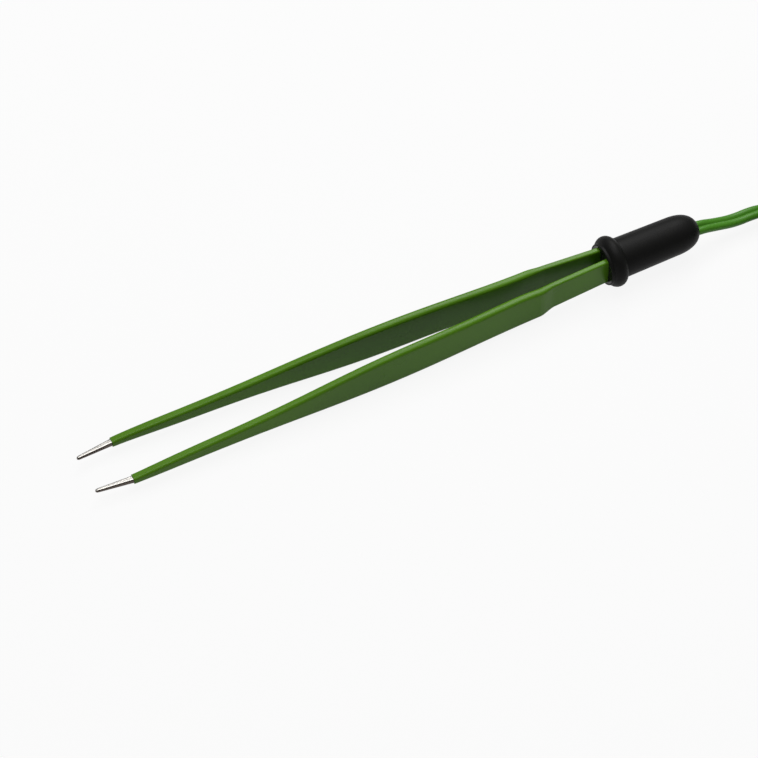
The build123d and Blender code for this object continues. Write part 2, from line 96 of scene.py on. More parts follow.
def rounded_oblong(x: float, middle: Pair, reach: Pair, radius: float, count: int) -> Points:
    """Rounded oblong that stands across the length of the forceps.

    Args:
        x: where it stands, in millimetres.
        middle: level and upright place of its middle.
        reach: level and upright distance from its middle to the middles of its corners.
        radius: radius of its corners.
        count: points on each corner.

    Returns:
        Its points in metres, in order round it.
    """
    points = []
    for quarter, (level, upright) in enumerate(CORNERS):
        for i in range(count):
            angle = QUARTER_TURN * (quarter + i / (count - 1))
            y = middle[0] + level * reach[0] + radius * math.cos(angle)
            z = middle[1] + upright * reach[1] + radius * math.sin(angle)
            points.append(Vector((x, y, z)) * MM)
    return points


def skin(
    name: str, rings: list[Points], ends: Ends, crease: float = math.pi, weld: float = 0.0
) -> bpy.types.Mesh:
    """Stretches a closed skin over a row of rings.

    Args:
        name: the mesh's name.
        rings: the rings, in metres, each with the same number of points.
        ends: what closes the skin.
        crease: the turn between two faces past which their edge is sharp.
        weld: metres within which doubled points become one. At 0, none do.

    Returns:
        The mesh.
    """
    shape = bmesh.new()
    loops = [[shape.verts.new(point) for point in ring] for ring in rings]
    pairs = list(zip(loops, loops[1:]))
    if ends is Ends.JOINED:
        pairs.append((loops[-1], loops[0]))
    count = len(loops[0])
    for here, there in pairs:
        for j in range(count):
            k = (j + 1) % count
            shape.faces.new((here[j], there[j], there[k], here[k]))
    if ends is Ends.CAPPED:
        shape.faces.new(loops[0])
        shape.faces.new(list(reversed(loops[-1])))
    if weld > 0.0:
        bmesh.ops.remove_doubles(shape, verts=shape.verts, dist=weld)
    bmesh.ops.recalc_face_normals(shape, faces=shape.faces)
    for edge in shape.edges:
        edge.smooth = edge.calc_face_angle(0.0) <= crease
    mesh = bpy.data.meshes.new(name)
    shape.to_mesh(mesh)
    shape.free()
    return mesh


@dataclass(frozen=True)
class Rest:
    """Attitude in which the forceps lie on the surface, on the cap's bead and the arms' bellies."""

    length: float = 180.0
    tilt: float = math.radians(1.4379922)
    tip_axis_height: float = 3.308915

    def place(self, station: float, across: float = 0.0, up: float = 0.0) -> Vector:
        """Point at a station of the forceps.

        Args:
            station: millimetres from the tips.
            across: millimetres towards the right arm.
            up: millimetres above the forceps' own axis.

        Returns:
            The point in the row frame, in metres.
        """
        along = station - self.length / 2
        x = along * math.cos(self.tilt) - up * math.sin(self.tilt)
        z = self.tip_axis_height + station * math.sin(self.tilt) + up * math.cos(self.tilt)
        return Vector((x, across, z)) * MM

    def turn(self, direction: Vector) -> Vector:
        """Direction of the forceps' own axes, turned into the row frame."""
        return Matrix.Rotation(-self.tilt, 3, "Y") @ direction


class Graph:
    """One node material, with short calls for the nodes that its finish needs."""

    spread_from: Pair = (0.3, 0.7)

    def __init__(self, name: str) -> None:
        """Starts a material with a principled shader.

        Args:
            name: the material's name.
        """
        self.material = bpy.data.materials.new(name)
        self.material.use_nodes = True
        self.tree = self.material.node_tree
        self.tree.nodes.clear()
        self.shader = self.node("ShaderNodeBsdfPrincipled")
        self.output = self.node("ShaderNodeOutputMaterial")
        self.join(self.shader.outputs["BSDF"], self.output.inputs["Surface"])
        self.place = self.node("ShaderNodeTexCoord").outputs["Object"]

    def node(self, kind: str) -> bpy.types.Node:
        """Adds a node of a kind."""
        return self.tree.nodes.new(kind)

    def join(self, start: Socket, end: Socket) -> None:
        """Links two sockets."""
        self.tree.links.new(start, end)

    def constants(self, **values: float | Colour) -> None:
        """Sets the shader's own sockets.

        Args:
            **values: a value for each socket, its name in small letters with low lines for spaces.
        """
        sockets = {socket.name.lower().replace(" ", "_"): socket for socket in self.shader.inputs}
        for name, value in values.items():
            sockets[name].default_value = (*value, 1.0) if isinstance(value, tuple) else value

    def noise(self, per_metre: float, detail: float, stretch: Place = (1.0, 1.0, 1.0)) -> Socket:
        """Cloudy noise in the object's own coordinates.

        Args:
            per_metre: cells in a metre.
            detail: octaves of finer noise.
            stretch: scale along each axis.

        Returns:
            The noise's value.
        """
        mapping = self.node("ShaderNodeMapping")
        mapping.inputs["Scale"].default_value = stretch
        self.join(self.place, mapping.inputs["Vector"])
        texture = self.node("ShaderNodeTexNoise")
        texture.inputs["Scale"].default_value = per_metre
        texture.inputs["Detail"].default_value = detail
        self.join(mapping.outputs["Vector"], texture.inputs["Vector"])
        return texture.outputs["Fac"]

    def remap(self, value: Socket, before: Pair, after: Pair) -> Socket:
        """Moves a value from one range to another, and holds it at the ends.

        Args:
            value: the value.
            before: the range that it comes from.
            after: the range that it goes to.

        Returns:
            The moved value.
        """
        node = self.node("ShaderNodeMapRange")
        for name, number in zip(("From Min", "From Max", "To Min", "To Max"), (*before, *after)):
            node.inputs[name].default_value = number
        self.join(value, node.inputs["Value"])
        return node.outputs["Result"]

    def spread(self, noise: Socket, after: Pair = (0.0, 1.0)) -> Socket:
        """Noise whose middle values fill a whole range."""
        return self.remap(noise, self.spread_from, after)

    def tint(self, share: Socket, dark: Colour, light: Colour) -> Socket:
        """Colour between two others.

        Args:
            share: 0 for the first colour, 1 for the second.
            dark: the first colour.
            light: the second colour.

        Returns:
            The colour.
        """
        node = self.node("ShaderNodeMix")
        node.data_type = "RGBA"
        for socket, colour in zip(self.colour_sockets(node.inputs), (dark, light)):
            socket.default_value = (*colour, 1.0)
        self.join(share, node.inputs["Factor"])
        return self.colour_sockets(node.outputs)[0]

    def over(self, share: Socket, below: Socket, colour: Colour) -> Socket:
        """Lays a colour over another one.

        Args:
            share: how much of the upper colour shows.
            below: the lower colour.
            colour: the upper colour.

        Returns:
            The colour that shows.
        """
        mixed = self.tint(share, colour, colour)
        self.join(below, self.colour_sockets(mixed.node.inputs)[0])
        return mixed

    def colour_sockets(self, sockets: Iterable[Socket]) -> list[Socket]:
        """The colours among some sockets."""
        return [socket for socket in sockets if socket.type == "RGBA"]

    def sideways(self) -> Socket:
        """How far a face looks to one side of the forceps.

        Returns:
            A value from 0, up or down, to 1, sideways.
        """
        # Mask of the blade steel's painted side shade.
        shape = self.node("ShaderNodeNewGeometry")
        parts = self.node("ShaderNodeSeparateXYZ")
        self.join(shape.outputs["Normal"], parts.inputs["Vector"])
        size = self.node("ShaderNodeMath")
        size.operation = "ABSOLUTE"
        self.join(parts.outputs["Y"], size.inputs[0])
        return size.outputs["Value"]

    def relief(self, height: Socket, depth: float) -> None:
        """Gives the surface fine relief.

        Args:
            height: the relief's height, 0 to 1.
            depth: metres between the heights 0 and 1.
        """
        node = self.node("ShaderNodeBump")
        node.inputs["Strength"].default_value = 1.0
        node.inputs["Distance"].default_value = depth
        self.join(height, node.inputs["Height"])
        self.join(node.outputs["Normal"], self.shader.inputs["Normal"])

    def colour(self, socket: Socket) -> None:
        """Drives the base colour."""
        self.join(socket, self.shader.inputs["Base Color"])

    def roughness(self, socket: Socket) -> None:
        """Drives the roughness."""
        self.join(socket, self.shader.inputs["Roughness"])


@dataclass(frozen=True)
class MouldedFinish:
    """Moulded or dipped plastic and rubber: a clouded colour, satin gloss and fine grain."""

    name: str
    dark: Colour
    light: Colour
    gloss: Pair
    grain_per_metre: float
    grain_depth: float
    specular: float = 0.5
    grain_detail: float = 2.0
    cloud_per_metre: float = 60.0
    cloud_detail: float = 4.0

    def build(self) -> bpy.types.Material:
        """Makes the material.

        Returns:
            The material.
        """
        graph = Graph(self.name)
        cloud = graph.noise(self.cloud_per_metre, self.cloud_detail)
        graph.colour(graph.tint(graph.spread(cloud), self.dark, self.light))
        graph.roughness(graph.spread(cloud, self.gloss))
        graph.relief(graph.noise(self.grain_per_metre, self.grain_detail), self.grain_depth)
        graph.constants(specular_ior_level=self.specular)
        return graph.material


@dataclass(frozen=True)
class MetalFinish:
    """Drawn, ground or plated metal with lines along the forceps."""

    name: str
    dark: Colour
    light: Colour
    gloss: Pair
    line_stretch: Place = (1.0, 14.0, 14.0)
    lines_per_metre: float = 300.0
    line_detail: float = 4.0
    line_depth: float = 0.0000008
    cloud_per_metre: float = 90.0
    cloud_detail: float = 3.0

    def build(self) -> bpy.types.Material:
        """Makes the material.

        Returns:
            The material.
        """
        graph = Graph(self.name)
        lines = graph.noise(self.lines_per_metre, self.line_detail, self.line_stretch)
        cloud = graph.noise(self.cloud_per_metre, self.cloud_detail)
        graph.colour(graph.tint(graph.spread(lines), self.dark, self.light))
        graph.roughness(graph.spread(cloud, self.gloss))
        graph.relief(lines, self.line_depth)
        graph.constants(metallic=1.0)
        return graph.material


@dataclass(frozen=True)
class BladeFinish:
    """Blade steel with painted shade: its faces that turn sideways across the forceps are painted
    dark by their normal, while its upper and lower faces keep the steel's bright, lined colour.
    """

    name: str
    steel_dark: Colour
    steel_light: Colour
    painted_side_shade: Colour
    gloss: Pair
    side_shade_turn: Pair = (0.12, 0.60)
    line_stretch: Place = (1.0, 14.0, 14.0)
    lines_per_metre: float = 300.0
    line_detail: float = 4.0
    line_depth: float = 0.0000006

    def build(self) -> bpy.types.Material:
        """Makes the material.

        Returns:
            The material.
        """
        graph = Graph(self.name)
        lines = graph.noise(self.lines_per_metre, self.line_detail, self.line_stretch)
        steel_tone = graph.tint(graph.spread(lines), self.steel_dark, self.steel_light)
        # Painted shade: the more a face turns sideways, the more the dark side colour covers the
        # steel.
        side = graph.remap(graph.sideways(), self.side_shade_turn, (0.0, 1.0))
        graph.colour(graph.over(side, steel_tone, self.painted_side_shade))
        graph.roughness(graph.spread(lines, self.gloss))
        graph.relief(lines, self.line_depth)
        graph.constants(metallic=1.0)
        return graph.material


COAT = MouldedFinish(
    "green_coat", dark=(0.064, 0.170, 0.005), light=(0.077, 0.198, 0.008), gloss=(0.25, 0.31),
    grain_per_metre=1900.0, grain_depth=0.000008, specular=0.13,
)
CAP_RUBBER = MouldedFinish(
    "black_cap_rubber", dark=(0.0065, 0.0065, 0.0062), light=(0.0100, 0.0100, 0.0095),
    gloss=(0.44, 0.54), grain_per_metre=2600.0, grain_depth=0.000016, specular=0.08,
)
POTTING = MouldedFinish(
    "black_potting", dark=(0.005, 0.005, 0.005), light=(0.007, 0.007, 0.007), gloss=(0.16, 0.24),
    grain_per_metre=700.0, grain_depth=0.00001, specular=0.12,
)
JACKET = MouldedFinish(
    "green_cord_jacket", dark=(0.052, 0.190, 0.012), light=(0.066, 0.232, 0.016),
    gloss=(0.36, 0.46), grain_per_metre=1800.0, grain_depth=0.00001, specular=0.25,
)
BLOCK = MouldedFinish(
    "natural_moulding", dark=(0.52, 0.49, 0.42), light=(0.60, 0.57, 0.50), gloss=(0.45, 0.6),
    grain_per_metre=900.0, grain_depth=0.000004,
)
PLUG_RUBBER = MouldedFinish(
    "black_plug_rubber", dark=(0.0075, 0.0075, 0.0072), light=(0.0115, 0.0115, 0.0110),
    gloss=(0.46, 0.58), grain_per_metre=2200.0, grain_depth=0.00002, specular=0.15,
)
TIE_PAPER = MouldedFinish(
    "white_tie", dark=(0.70, 0.70, 0.68), light=(0.82, 0.82, 0.80), gloss=(0.6, 0.75),
    grain_per_metre=1400.0, grain_depth=0.00005,
)
STEEL = BladeFinish(
    "polished_blade_steel", steel_dark=(0.54, 0.522, 0.490), steel_light=(0.62, 0.60, 0.565),
    # The dark side colour is painted shade on the blade's sideways faces.
    painted_side_shade=(0.085, 0.070, 0.060), gloss=(0.22, 0.32),
)
NICKEL = MetalFinish("bright_nickel", (0.66, 0.64, 0.60), (0.76, 0.74, 0.70), (0.14, 0.22))
BRASS = MetalFinish("tinned_brass", (0.60, 0.52, 0.36), (0.70, 0.62, 0.45), (0.28, 0.4))
COPPER = MetalFinish("bare_copper", (0.70, 0.34, 0.20), (0.82, 0.46, 0.30), (0.28, 0.4))
CLAMP = MetalFinish("crimped_steel", (0.46, 0.46, 0.46), (0.58, 0.58, 0.58), (0.3, 0.42))


def both(part: str) -> list[str]:
    """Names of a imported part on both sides."""
    return [f"{side.value}_{part}" for side in Side]


def dress(names: Iterable[str], material: bpy.types.Material) -> None:
    """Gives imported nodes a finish.

    Args:
        names: the nodes.
        material: their material.
    """
    for name in names:
        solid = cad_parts[name]
        if not solid.material_slots:
            solid.data.materials.append(material)
        for material_slot in solid.material_slots:
            material_slot.material = material
        LOG.info("%s wears %s", name, material.name)


def add_piece(mesh: bpy.types.Mesh, finish: bpy.types.Material) -> bpy.types.Object:
    """Adds a piece that rides on the handle, under its mesh's name.

    Args:
        mesh: its mesh, in the row frame.
        finish: its material.

    Returns:
        The new object.
    """
    mesh.materials.append(finish)
    for face in mesh.polygons:
        face.use_smooth = True
    piece = bpy.data.objects.new(mesh.name, mesh)
    bpy.context.scene.collection.objects.link(piece)
    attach(piece, "handle")
    LOG.info("%s: %d faces, riding on handle", mesh.name, len(mesh.polygons))
    return piece


@dataclass
class Arms:
    """The two spring arms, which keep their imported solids."""

    def build(self) -> None:
        """Dresses the blades and their coats."""
        dress(both("blade"), STEEL.build())
        dress(both("insulation"), COAT.build())


@dataclass
class Cap:
    """The rear cap and what it holds.

    The depths of the potting's face lie behind the cap's mouth, in millimetres.
    """

    rest: Rest = field(default_factory=Rest)
    mouth: float = 150.5
    face_radius: float = 5.46
    face_back: float = 0.38
    face_middle: float = 0.30
    face_rim: float = 0.05
    face_hollow: int = 3
    face_rings: int = 14
    face_points: int = 72

    def face_ring(self, depth: float, radius: float) -> Points:
        """Ring of the potting's face.

        Args:
            depth: millimetres behind the cap's mouth.
            radius: its radius in millimetres.

        Returns:
            Its points in metres.
        """
        turns = [2.0 * math.pi * j / self.face_points for j in range(self.face_points)]
        return [
            self.rest.place(self.mouth + depth, radius * math.cos(turn), radius * math.sin(turn))
            for turn in turns
        ]

    def potting_face(self, potting: bpy.types.Material) -> bpy.types.Object:
        """Pours the potting's hollow face, which meets the cap's lip and closes round the arms.

        Args:
            potting: its finish.

        Returns:
            The new piece.
        """
        rings = []
        for i in range(1, self.face_rings + 1):
            share = i / self.face_rings
            depth = blend_between(self.face_middle, self.face_rim, share ** self.face_hollow)
            rings.append(self.face_ring(depth, self.face_radius * share))
        rings.append(self.face_ring(self.face_back, self.face_radius))
        return add_piece(skin("potting_face", rings, Ends.CAPPED, CREASE), potting)

    def build(self) -> None:
        """Dresses the cap, its potting and the parts inside it."""
        dress(["rear_cap"], CAP_RUBBER.build())
        potting = POTTING.build()
        dress(["front_seal"], potting)
        self.potting_face(potting)
        dress(["spacer_block"], BLOCK.build())
        dress(both("terminal"), BRASS.build())
        dress(both("conductor"), COPPER.build())
        dress(["cord_clamp"], CLAMP.build())


@dataclass
class Hank:
    """The tied hank into which the unseen cord is wound, on edge, three turns to a layer.

    Each lap moves to the next one's place between the two quarters of its round that steps gives.
    """

    near: float = 126.084
    run: float = 79.81
    outer_radius: float = 17.6
    turns_in_layer: int = 3
    turn_step: float = 2.2
    layer_heights: tuple[float, ...] = (2.6, 7.0, 11.4, 15.8)
    laps: int = 11
    fold_points: int = 8
    run_points: int = 5
    unevenness: float = 0.10
    uneven_by_lap: float = 2.1
    uneven_by_quarter: float = 4.7
    steps: tuple[Pair, ...] = (
        (3.05, 3.65), (3.05, 3.65), (2.80, 3.02), (2.62, 2.80), (2.62, 2.80), (2.40, 2.62),
        (2.22, 2.40), (2.22, 2.40), (2.00, 2.22), (1.35, 1.95), (1.35, 1.95),
    )

    @property
    def far(self) -> float:
        """X of the far end of the straight runs."""
        return self.near + self.run

    @property
    def bow(self) -> float:
        """Share by which a fold's points stand out, so that the smooth cord keeps its radius."""
        return 1.0 / math.cos(math.pi / self.fold_points / 4) ** 2

    def berth(self, lap: int) -> Pair:
        """Place of a lap in the stack, which goes in and out by turns.

        Args:
            lap: the lap, from 0.

        Returns:
            Its radius and height.
        """
        layer, place = divmod(lap, self.turns_in_layer)
        inward = place if layer % 2 == 0 else self.turns_in_layer - 1 - place
        return self.outer_radius - inward * self.turn_step, self.layer_heights[layer]

    def at(self, lap: int, quarter: float) -> Vector:
        """Point of the hank's line.

        Args:
            lap: the lap, from 0.
            quarter: 0 to 1 on the first run, 1 to 2 on the far fold, 2 to 3 on the run back, 3 to 4
                on the near fold.

        Returns:
            The point in millimetres.
        """
        radius, height = self.berth(lap)
        if lap < self.laps:
            share = ease_over(quarter, *self.steps[lap])
            next_radius, next_height = self.berth(lap + 1)
            radius = blend_between(radius, next_radius, share)
            height = blend_between(height, next_height, share)
        wave = math.sin(self.uneven_by_lap * lap + self.uneven_by_quarter * quarter)
        radius -= self.unevenness * (0.5 + 0.5 * wave)
        side, start, end = (1, self.near, self.far) if quarter < 2.0 else (-1, self.far, self.near)
        part = quarter % 1.0
        if int(quarter) % 2 == 0:
            x, y = start + side * self.run * part, side * radius
        else:
            angle, swing = math.pi * (0.5 - part), radius * self.bow
            x, y = end + side * swing * math.cos(angle), side * swing * math.sin(angle)
        return Vector((x, y - self.outer_radius, height))

    def points(self) -> Points:
        """Control points of all laps and of the last run.

        Returns:
            The points in millimetres.
        """
        found = []
        for lap in range(self.laps + 1):
            for part in range(4 if lap < self.laps else 1):
                count = self.run_points if part % 2 == 0 else self.fold_points
                found.extend(self.at(lap, part + (i + 0.5) / count) for i in range(count))
        return found


@dataclass
class Plug:
    """The moulded plug with its two pins.

    Its sizes run from the relief's small end towards the pins. A pair is a level and an upright
    half size, except in the ribs' edge, where it is a place along the plug and a share of the
    groove's depth.
    """

    start: float = 254.894
    middle: Pair = (-14.5, 5.5)
    relief_length: float = 12.0
    relief_small: Pair = (3.3, 2.2)
    relief_large: Pair = (5.2, 3.8)
    relief_end_round: float = 0.3
    relief_end_length: float = 0.25
    ribs: int = 5
    rib_gap: float = 0.9
    rib_depth: float = 0.45
    rib_edge: tuple[Pair, ...] = ((-0.2, 0.0), (0.0, 0.2), (0.15, 1.0))
    overlap: float = 0.3
    neck: Pair = (7.0, 4.0)
    flare_length: float = 8.0
    flare_rings: int = 12
    flare_rise: float = 1.6
    half_size: Pair = (21.3, 5.5)
    straight_length: float = 14.0
    edge_round: float = 2.4
    edge_shrink: float = 0.6
    front_round: float = 1.6
    front_rings: int = 6
    recess: Pair = (17.9, 3.5)
    recess_round: float = 0.3
    recess_depth: float = 11.1
    corner_points: int = 7
    weld: float = 0.001 * MM

    @property
    def front(self) -> float:
        """Distance from the relief's small end to the plug's front face."""
        return self.relief_length + self.flare_length + self.straight_length

    def ring(self, along: float, half_size: Pair, rounding: float) -> Points:
        """Rounded oblong across the plug.

        Args:
            along: distance from the relief's small end.
            half_size: half of its level width and half of its height.
            rounding: radius of its corners, at most half of its width or height.

        Returns:
            Its points in metres, in order round the plug.
        """
        rounding = min(rounding, *half_size)
        reach = (half_size[0] - rounding, half_size[1] - rounding)
        return rounded_oblong(self.start + along, self.middle, reach, rounding, self.corner_points)

    def relief_rings(self) -> list[Points]:
        """Rings of the tapered relief, with a groove after each rib.

        Returns:
            The rings, from the cord to the body.
        """
        pitch = self.relief_length / (self.ribs + 1)
        marks = [(0.0, 0.0), (self.relief_end_length, 0.0)]
        for rib in range(1, self.ribs + 1):
            start = rib * pitch - self.rib_gap / 2
            end = start + self.rib_gap
            marks += [(start + inward, cut) for inward, cut in self.rib_edge]
            marks += [(end - inward, cut) for inward, cut in reversed(self.rib_edge)]
        rings = []
        for along, cut in marks:
            share = along / self.relief_length
            inset = cut * self.rib_depth + (self.relief_end_round if along == 0.0 else 0.0)
            width, height = (
                blend_between(small, large, share) - inset
                for small, large in zip(self.relief_small, self.relief_large)
            )
            rings.append(self.ring(along, (width, height), height))
        return rings

    def body_rings(self) -> list[Points]:
        """Rings of the round shoulders, the straight part, the rounded front and its recess.

        Returns:
            The rings, from the relief to the recess's floor.
        """
        start, large = self.relief_length - self.overlap, self.relief_large
        rings = [self.ring(start, large, large[1])]
        for i in range(self.flare_rings + 1):
            angle = QUARTER_TURN * i / self.flare_rings
            width = blend_between(self.neck[0], self.half_size[0], math.sin(angle))
            rise = min(1.0, self.flare_rise * math.sin(angle))
            height = blend_between(self.neck[1], self.half_size[1], rise)
            along = self.relief_length + self.flare_length * (1.0 - math.cos(angle))
            rings.append(self.ring(along, (width, height), self.edge_round))
        for i in range(self.front_rings + 1):
            angle = QUARTER_TURN * i / self.front_rings
            shrink = self.front_round * (1.0 - math.cos(angle))
            along = self.front - self.front_round * (1.0 - math.sin(angle))
            size = (self.half_size[0] - shrink, self.half_size[1] - shrink)
            rings.append(self.ring(along, size, self.edge_round - self.edge_shrink * shrink))
        for along in (self.front, self.front - self.recess_depth):
            rings.append(self.ring(along, self.recess, self.recess_round))
        return rings

    def shell(self) -> bpy.types.Object:
        """Moulds the body round the pins' carrier and the cord's end.

        Returns:
            The new piece.
        """
        rings = self.relief_rings() + self.body_rings()
        mesh = skin("plug_shell", rings, Ends.CAPPED, CREASE, self.weld)
        piece = add_piece(mesh, PLUG_RUBBER.build())
        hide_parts("plug_body")
        return piece

    def build(self) -> list[bpy.types.Object]:
        """Moulds the body and dresses the parts in it.

        Returns:
            All pieces at the end of the cord.
        """
        pins, cores = both("plug_pin"), both("plug_conductor")
        dress(["plug_carrier"], BLOCK.build())
        dress(pins, NICKEL.build())
        dress(cores, COPPER.build())
        return [self.shell()] + [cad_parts[name] for name in ["plug_carrier", *pins, *cores]]


@dataclass
class Tie:
    """The band round the hank."""

    hank: Hank
    width: float = 8.0
    height: float = 17.6
    thickness: float = 0.4
    clearance: float = 0.1
    corner: float = 1.6
    corner_points: int = 7

    def loop(self, offset: float, grow: float) -> Points:
        """Edge of the band.

        Args:
            offset: millimetres from the hank's middle, along the forceps.
            grow: millimetres outside the band's inner face.

        Returns:
            Its points in metres, in order round the hank.
        """
        x = self.hank.near + self.hank.run / 2 + offset
        half_width = self.hank.outer_radius + self.hank.turn_step / 2 + self.clearance
        middle = (-self.hank.outer_radius, self.thickness + self.height / 2)
        reach = (half_width - self.corner, self.height / 2 - self.corner)
        return rounded_oblong(x, middle, reach, self.corner + grow, self.corner_points)

    def build(self) -> bpy.types.Object:
        """Builds the band as a rounded loop that hugs the hank.

        Returns:
            The new piece.
        """
        half = self.width / 2
        edges = ((-half, 0.0), (-half, self.thickness), (half, self.thickness), (half, 0.0))
        mesh = skin("hank_band", [self.loop(*edge) for edge in edges], Ends.JOINED)
        piece = add_piece(mesh, TIE_PAPER.build())
        for face in piece.data.polygons:
            face.use_smooth = False
        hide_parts("hank_tie")
        return piece


@dataclass
class Cord:
    """The flat twin cord from the cap through its hank to the plug.

    The lead's bends are places past the cap and heights, and the tail's bends are places past the
    hank, across it and above the surface. The cord turns about its own line over the lengths of
    roll_in and twist_in past the cap and of twist_out before the plug.
    """

    rest: Rest = field(default_factory=Rest)
    hank: Hank = field(default_factory=Hank)
    plug: Plug = field(default_factory=Plug)
    width: float = 4.4
    thickness: float = 2.2
    waist: float = 0.30
    side_points: int = 9
    length: float = 3000.0
    exit_station: float = 180.0
    rise: float = -0.5
    cap_end: float = 89.984
    cap_stations: Pair = (174.0, 180.5)
    lead_bends: tuple[Pair, ...] = ((6.0, 5.70), (12.0, 4.25), (18.0, 4.55), (26.0, 3.2))
    hank_entry: Pair = (-4.0, 2.65)
    tail_bends: tuple[Place, ...] = (
        (0.0, 0.0, 15.8), (12.0, 0.0, 15.0), (23.0, -3.5, 10.5), (33.0, -10.5, 6.6),
    )
    plug_entry: Pair = (-6.0, 5.0)
    roll: float = math.radians(9.0)
    roll_in: Pair = (0.5, 7.0)
    twist_in: Pair = (18.0, 34.0)
    twist_out: Pair = (34.0, 8.0)
    tail_side: float = -16.0
    curve_steps: int = 8

    def lead(self) -> Points:
        """Control points from inside the cap to the hank.

        Returns:
            The points in millimetres.
        """
        inside = [self.rest.place(station, 0.0, self.rise) / MM for station in self.cap_stations]
        bends = [Vector((self.cap_end + past, 0.0, height)) for past, height in self.lead_bends]
        before, height = self.hank_entry
        return inside + bends + [Vector((self.hank.near + before, 0.0, height))]

    def tail(self) -> Points:
        """Control points from the hank to inside the plug.

        Returns:
            The points in millimetres.
        """
        bends = [Vector((self.hank.far + past, y, height)) for past, y, height in self.tail_bends]
        return bends + [Vector((self.plug.start + x, *self.plug.middle)) for x in self.plug_entry]

    def route(self) -> Points:
        """Fine points read from the cord's own smooth spline.

        Returns:
            The points in millimetres.
        """
        controls = self.lead() + self.hank.points() + self.tail()
        curve = bpy.data.curves.new("cord_route", "CURVE")
        curve.dimensions = "3D"
        curve.resolution_u = self.curve_steps
        spline = curve.splines.new("NURBS")
        spline.points.add(len(controls) - 1)
        for point, control in zip(spline.points, controls):
            point.co = (*control, 1.0)
        spline.order_u = 3
        spline.use_endpoint_u = True
        holder = bpy.data.objects.new("cord_route", curve)
        mesh = bpy.data.meshes.new_from_object(holder)
        found = [Vector(vertex.co) for vertex in mesh.vertices]
        bpy.data.objects.remove(holder)
        bpy.data.curves.remove(curve)
        bpy.data.meshes.remove(mesh)
        return found

    def section(self) -> list[Pair]:
        """Outline of the twin lead: two round lobes with a groove between them on each face.

        Returns:
            Its points, along the cord's width and thickness, in millimetres.
        """
        lobe = self.thickness / 2
        centre = self.width / 2 - lobe
        step = math.pi / (self.side_points - 1)
        half = []
        for i in range(self.side_points):
            out, rise = math.cos(step * i), math.sin(step * i)
            half.append((centre + lobe * out, max(lobe * rise, self.waist if out < 0.0 else 0.0)))
        top = half + [(-x, z) for x, z in reversed(half[:-1])]
        return top + [(x, -z) for x, z in reversed(top[1:-1])]

    def turned(self, here: Vector) -> float:
        """Angle by which the cord is turned about its own line.

        Args:
            here: a point of the line, in millimetres.

        Returns:
            The angle: flat, rolled a little past the cap, on edge in the hank, flat at the plug.
        """
        flat, on_edge = Lay.FLAT.value, Lay.ON_EDGE.value
        past_cap = here.x - self.cap_end
        if past_cap < self.twist_in[1]:
            roll = blend_between(flat, self.roll, ease_over(past_cap, *self.roll_in))
            return blend_between(roll, on_edge, ease_over(past_cap, *self.twist_in))
        start, end = (self.plug.start - before for before in self.twist_out)
        if here.x > start and here.y > self.tail_side:
            return blend_between(on_edge, flat, ease_over(here.x, start, end))
        return on_edge

    def ring(self, here: Vector, ahead: Vector, outline: list[Pair]) -> Points:
        """Section of the cord at one point of its line.

        Args:
            here: the point, in millimetres.
            ahead: the line's direction there.
            outline: the section's own points.

        Returns:
            The section's points in metres.
        """
        level = Vector((0.0, 0.0, 1.0)).cross(ahead).normalized()
        upright = ahead.cross(level).normalized()
        turn = self.turned(here)
        wide = level * math.cos(turn) - upright * math.sin(turn)
        thin = ahead.cross(wide)
        return [(here + wide * x + thin * z) * MM for x, z in outline]

    def build(self) -> bpy.types.Object:
        """Returns:
            The cord.
        """
        line, outline = self.route(), self.section()
        afters, befores = line[1:] + line[-1:], line[:1] + line[:-1]
        rings = [
            self.ring(here, (after - before).normalized(), outline)
            for here, after, before in zip(line, afters, befores)
        ]
        piece = add_piece(skin("cord", rings, Ends.CAPPED), JACKET.build())
        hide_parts("cord_lead", "cord_hank", "cord_tail")
        length = sum((b - a).length for a, b in zip(line, line[1:]))
        LOG.info("cord line %.0f mm for a %.0f mm cord", length, self.length)
        plug_pieces = self.plug.build()
        tie = Tie(self.hank).build()
        tuple(self.rest.place(self.exit_station, 0.0, self.rise))
        return piece


@dataclass(frozen=True)
class SoftBox:
    """A soft lamp. Its radiance says how bright its face is, where 1 is white."""

    name: str
    place: Place
    size: Pair
    radiance: float
    target: Place = (0.05, 0.0, 0.0)

    def hang(self) -> None:
        """Hangs the lamp so that it looks at its target."""
        data = bpy.data.lights.new(self.name, "AREA")
        data.shape = "RECTANGLE"
        data.size, data.size_y = self.size
        data.energy = self.radiance * math.pi * self.size[0] * self.size[1]
        lamp = bpy.data.objects.new(self.name, data)
        turned = (Vector(self.target) - Vector(self.place)).to_track_quat("-Z", "Y").to_matrix()
        lamp.matrix_world = Matrix.Translation(self.place) @ turned.to_4x4()
        bpy.context.scene.collection.objects.link(lamp)


